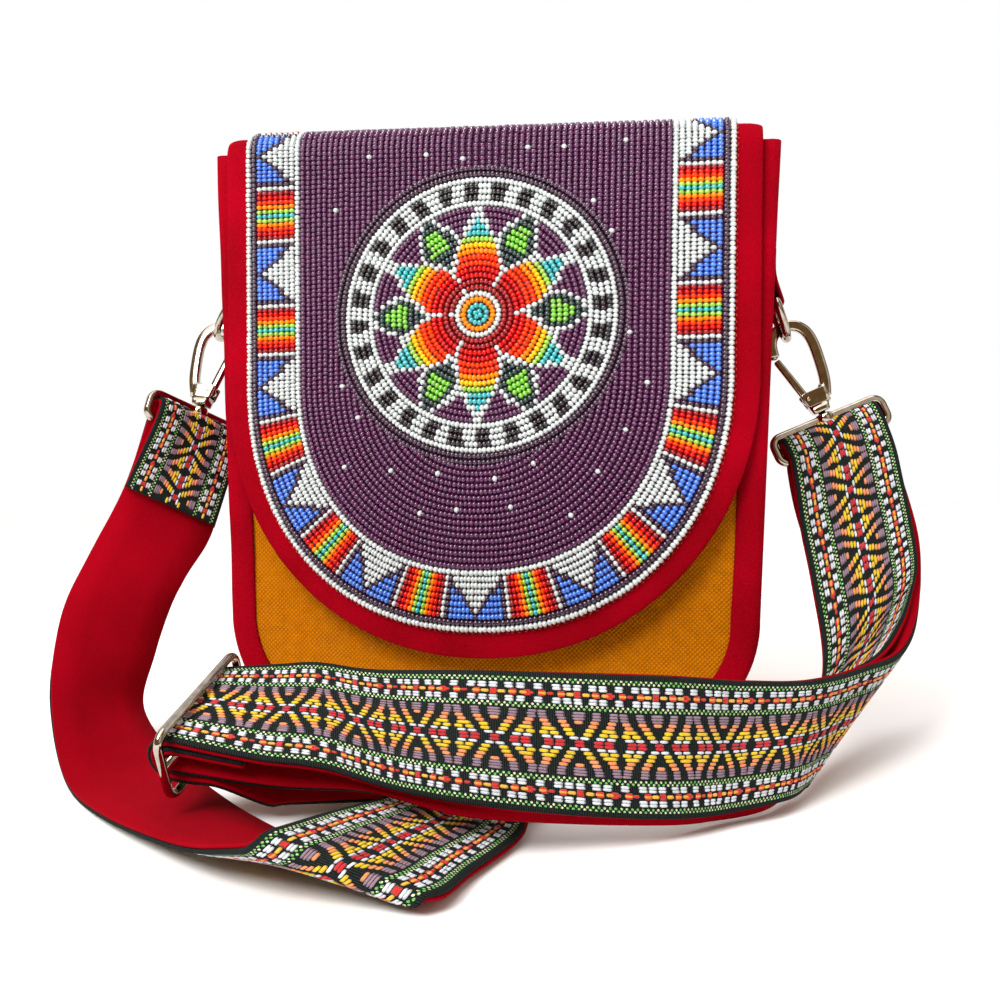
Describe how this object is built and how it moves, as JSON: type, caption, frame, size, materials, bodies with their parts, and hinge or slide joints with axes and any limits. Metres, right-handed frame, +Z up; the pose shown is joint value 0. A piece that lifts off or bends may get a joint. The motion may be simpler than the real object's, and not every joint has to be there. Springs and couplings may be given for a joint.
{
  "type": "beaded crossbody bag",
  "caption": "Flat crossbody pouch in red cloth and canvas with a long rounded flap covered in seed beads, a woven adjustable strap, snap hooks and rings",
  "frame": {"origin": "middle of the flat bottom of the pouch, on the surface it stands on", "axes": "+X to the right seen from the front, -Y out of the beaded front, +Z up"},
  "size_m": [0.3212, 0.229, 0.2446],
  "materials": {
    "canvas": "coarse orange canvas, matte",
    "red_cloth": "red wool cloth, matte",
    "seed_beads": "opaque glass seed beads, glossy",
    "nickel": "polished nickel plate",
    "webbing": "jacquard woven band, matte with satin floats",
    "strap_lining": "red cotton tape, matte"
  },
  "bodies": {
    "bag": {"front_panel": "canvas", "back_panel": "canvas", "gusset": "red_cloth", "front_binding": "red_cloth", "back_binding": "red_cloth", "flap": "red_cloth", "bead_panel": "seed_beads", "tab_left": "red_cloth", "tab_right": "red_cloth", "d_ring_left": "nickel", "d_ring_right": "nickel", "strap_ring_left": "nickel", "strap_ring_right": "nickel", "slider": "nickel", "strap_band": "webbing", "strap_lining": "strap_lining"},
    "left_hook": {"hook_left": "nickel"},
    "right_hook": {"hook_right": "nickel"},
    "left_gate": {"gate_left": "nickel"},
    "right_gate": {"gate_right": "nickel"}
  },
  "joints": [
    {"name": "left_swivel", "type": "hinge", "parent": "bag", "child": "left_hook", "pos_m": [-0.12834, -0.01062, 0.13065], "axis": [0.1219, 0.3109, 0.9426], "range_deg": [-20, 20]},
    {"name": "right_swivel", "type": "hinge", "parent": "bag", "child": "right_hook", "pos_m": [0.13109, 0.00522, 0.12348], "axis": [-0.3969, 0.074, 0.9149], "range_deg": [-20, 20]},
    {"name": "left_gate_hinge", "type": "hinge", "parent": "left_hook", "child": "left_gate", "pos_m": [-0.12421, -0.00781, 0.13917], "axis": [0, -0.9498, 0.3129], "range_deg": [0, 22], "stiffness_Nm_per_rad": 0.02, "springref_deg": -11.46},
    {"name": "right_gate_hinge", "type": "hinge", "parent": "right_hook", "child": "right_gate", "pos_m": [0.12461, 0.00582, 0.1309], "axis": [0, 0.9967, -0.081], "range_deg": [0, 22], "stiffness_Nm_per_rad": 0.02, "springref_deg": -11.46}
  ]
}
